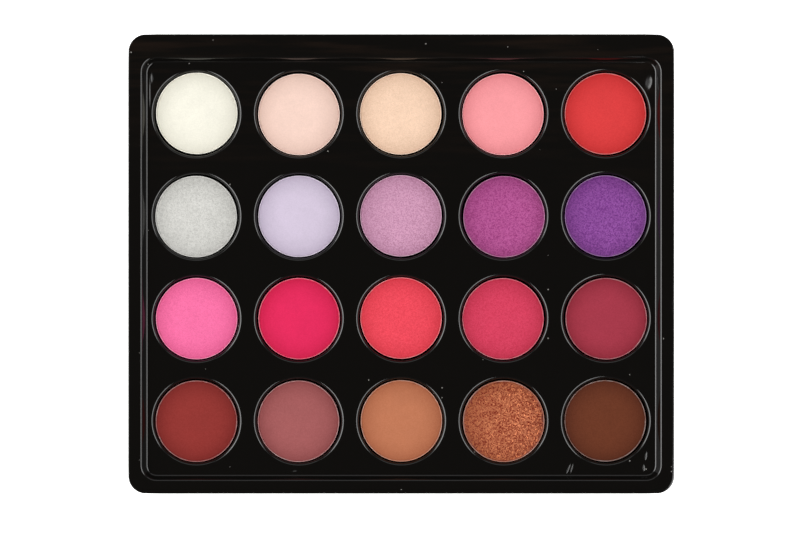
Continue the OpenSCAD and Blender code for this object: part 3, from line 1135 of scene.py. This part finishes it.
# %% Cover outlines
def opened(points):
    """Turns a loop of the closed cover over, to where it lies open. Its flange's outer face is the ground."""
    return [(x, FLIP_Y - y, z) for x, y, z in points]


def lid_edge(inset, z):
    """The cover's edge: the case's outline, with a thumb tab in front and a straight edge at the crease."""
    ring = []
    for x, y, z in case_ring(inset, z):
        if y < 0 and abs(x) < TAB_W / 2:
            share = abs(2 * x / TAB_W)
            y -= TAB_REACH * (1 - share ** 4) ** 1.5
        if y > CASE_D / 2 - 1.5 * MM and abs(x) < HINGE_HALF - inset:
            y = REAR_CREASE_Y - STRIP - inset
        ring.append((x, y, z))
    return opened(ring)


def mark_cut_faces(piece):
    """Marks the upright faces along the film's free edges, but not those where two pieces of film meet."""
    cut = piece.data.attributes.new("cut", "FLOAT", "FACE")
    for face in piece.data.polygons:
        x, y, z = face.center
        upright = abs(face.normal.z) < 0.05 and z < FILM_T
        at_side = abs(face.normal.x) > 0.9 and abs(x) > HINGE_HALF - 0.01 * MM
        beyond = y > LID_CREASE_Y + STRIP + 0.01 * MM
        cut.data[face.index].value = 1.0 if upright and (at_side or beyond) else 0.0


print("tab mm:", round(TAB_REACH / MM, 2))

# %% [markdown]
# The lid is one closed skin. It starts on the flange's outer face, runs out and round the cut edge, back
# along the inner face, and up over the plug. A second run from the same first loop lines the hollow of the
# plug, so the film has a real thickness everywhere.

# %% Lid
LID_LAND = 0.9 * MM
EDGE_BREAK = 0.06 * MM
PLUG_BEND = 0.35 * MM
INNER_BREAK = 0.12 * MM


def build_lid():
    mesh = bmesh.new()
    top = PLUG_RISE
    bend = PLUG_BEND
    edge = [(LID_LAND, 0.0), (EDGE_BREAK, 0.0), (0.0, EDGE_BREAK), (0.0, FILM_T - EDGE_BREAK),
            (EDGE_BREAK, FILM_T), (LID_LAND, FILM_T)]
    rings = [lid_edge(inset, z) for inset, z in edge]
    head = arc(PLUG_HEAD_OUT + bend, FILM_T + bend, bend, 270, 200, 5)
    foot = arc(PLUG_FOOT_OUT - bend, top - bend, bend, 20, 90, 5)
    for out, z in head + foot:
        rings.append(opened(step_ring(out, z)))
    head_in = arc(PLUG_HEAD_OUT + bend, FILM_T + bend, bend + FILM_T, 270, 200, 5)
    under = [opened(step_ring(out, z)) for out, z in head_in]
    under += [opened(step_ring(PLUG_FOOT_OUT - FILM_T, top - FILM_T - INNER_BREAK)),
              opened(step_ring(PLUG_FOOT_OUT - FILM_T - INNER_BREAK, top - FILM_T))]
    outer = [add_loop(mesh, ring) for ring in rings]
    inner = [add_loop(mesh, ring) for ring in under]
    join_loops(mesh, outer, close_end=True)
    join_loops(mesh, inner, close_end=True)
    join_loops(mesh, [outer[0], inner[0]])
    lid = finish_piece("clear_lid", mesh, film_finish, 40)
    mark_cut_faces(lid)
    return lid


print("lid rises mm:", round(PLUG_RISE / MM, 2))

# %% [markdown]
# The flap, the standing strip and the two creases are all strips of the same film across the case, so one
# function makes them. A crease is thinned along its middle, and its rows of points let it bend smoothly.

# %% Strips
STRIP_STEPS = 8
CREASE_THINNING = 0.45
across_strip = (-HINGE_HALF, -HINGE_HALF / 3, HINGE_HALF / 3, HINGE_HALF)


def film_strip(name, y_from, y_to, thin=0.0):
    """A strip of film along X. thin is how much a crease along its middle loses from its upper face."""
    steps = STRIP_STEPS
    mesh = bmesh.new()
    upper = []
    lower = []
    for i in range(steps + 1):
        y = y_from + (y_to - y_from) * i / steps
        middle = 1 - abs(2 * i / steps - 1)
        for line, z in ((upper, FILM_T - thin * middle), (lower, thin * middle * 0.3)):
            line.append([mesh.verts.new((x, y, z)) for x in across_strip])
    for i in range(steps):
        for j in range(3):
            mesh.faces.new((upper[i][j], upper[i][j + 1], upper[i + 1][j + 1], upper[i + 1][j]))
            mesh.faces.new((lower[i][j], lower[i + 1][j], lower[i + 1][j + 1], lower[i][j + 1]))
        for j in (0, 3):
            mesh.faces.new((upper[i][j], upper[i + 1][j], lower[i + 1][j], lower[i][j]))
    for i in (0, steps):
        for j in range(3):
            mesh.faces.new((upper[i][j], upper[i][j + 1], lower[i][j + 1], lower[i][j]))
    strip = finish_piece(name, mesh, film_finish, 40)
    mark_cut_faces(strip)
    return strip


print("strip width mm:", round(2 * HINGE_HALF / MM, 1))

# %% Build the cover
lid = build_lid()
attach(lid, "cover")
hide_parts("lid_cover")
flap = film_strip("glued_flap", flap_low[1], REAR_CREASE_Y - STRIP)
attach(flap, "case")
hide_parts("hinge_flap")
spine = film_strip("standing_strip", REAR_CREASE_Y + STRIP, LID_CREASE_Y - STRIP)
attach(spine, "spine")
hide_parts("hinge_spine")
thinned = FILM_T * CREASE_THINNING
rear_crease = film_strip("rear_crease", REAR_CREASE_Y - STRIP, REAR_CREASE_Y + STRIP, thinned)
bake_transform(rear_crease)
lid_crease = film_strip("lid_crease", LID_CREASE_Y - STRIP, LID_CREASE_Y + STRIP, thinned)
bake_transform(lid_crease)

# %% [markdown]
# ## Glue lines
# The glue keeps the shapes it has in the design, and only gets its finish: milky, slightly shiny and
# cloudy. It is hidden inside the closed case.

# %% Finish the glue
for name in ("rim_adhesive", "pan_adhesive"):
    for glue_slot in frame["nodes"][name].material_slots:
        glue_slot.material = glue_finish
    print("glue finish on:", name)

# %% [markdown]
# ## The floor
# A big pale sheet, lit brightly enough to be white under the camera. A little light of its own stands for
# what the paper sends back from outside the lamps' reach, and keeps the shadows faint. It has hardly any
# behind the case, where the open cover lies, so that the clear film still shows against it. That place has a
# soft edge, whose width is given in millimetres.

# %% Build the floor
OPEN_GLOW = 0.85
COVERED_GLOW = 0.08
SOFT_EDGE = 10.0
FLOOR_HALF = 3.0
FLOOR_GAP = 0.05 * MM


def paper_floor():
    material, tree, shader = new_material("pale_paper")
    where = millimetres(tree)
    fibre = noise_node(tree, where, 0.4, 4.0)
    tree.links.new(mix_colours(tree, fibre, (0.86, 0.86, 0.86), (0.9, 0.9, 0.9)), shader.inputs["Base Color"])
    shader.inputs["Roughness"].default_value = 0.9
    shader.inputs["Emission Color"].default_value = (1.0, 1.0, 1.0, 1.0)
    place = tree.nodes.new("ShaderNodeSeparateXYZ")
    tree.links.new(where, place.inputs[0])
    front, rear, side = lid_low[1] / MM, lid_high[1] / MM, lid_high[0] / MM
    under = remap(tree, place.outputs["Y"], front + SOFT_EDGE, front + 2 * SOFT_EDGE, 0.0, 1.0)
    short = remap(tree, place.outputs["Y"], rear, rear + SOFT_EDGE, 1.0, 0.0)
    narrow = remap(tree, math_node(tree, "ABSOLUTE", place.outputs["X"]), side, side + SOFT_EDGE, 1.0, 0.0)
    covered = math_node(tree, "MULTIPLY", under, math_node(tree, "MULTIPLY", short, narrow))
    glow = remap(tree, covered, 0.0, 1.0, OPEN_GLOW, COVERED_GLOW)
    tree.links.new(glow, shader.inputs["Emission Strength"])
    return material


floor_mesh = bmesh.new()
bmesh.ops.create_grid(floor_mesh, x_segments=8, y_segments=8, size=FLOOR_HALF)
floor_data = bpy.data.meshes.new("floor")
floor_mesh.to_mesh(floor_data)
floor_mesh.free()
floor_data.materials.append(paper_floor())
floor = bpy.data.objects.new("floor", floor_data)
floor.location.z = -FLOOR_GAP
bpy.context.scene.collection.objects.link(floor)
print("floor:", floor.name)
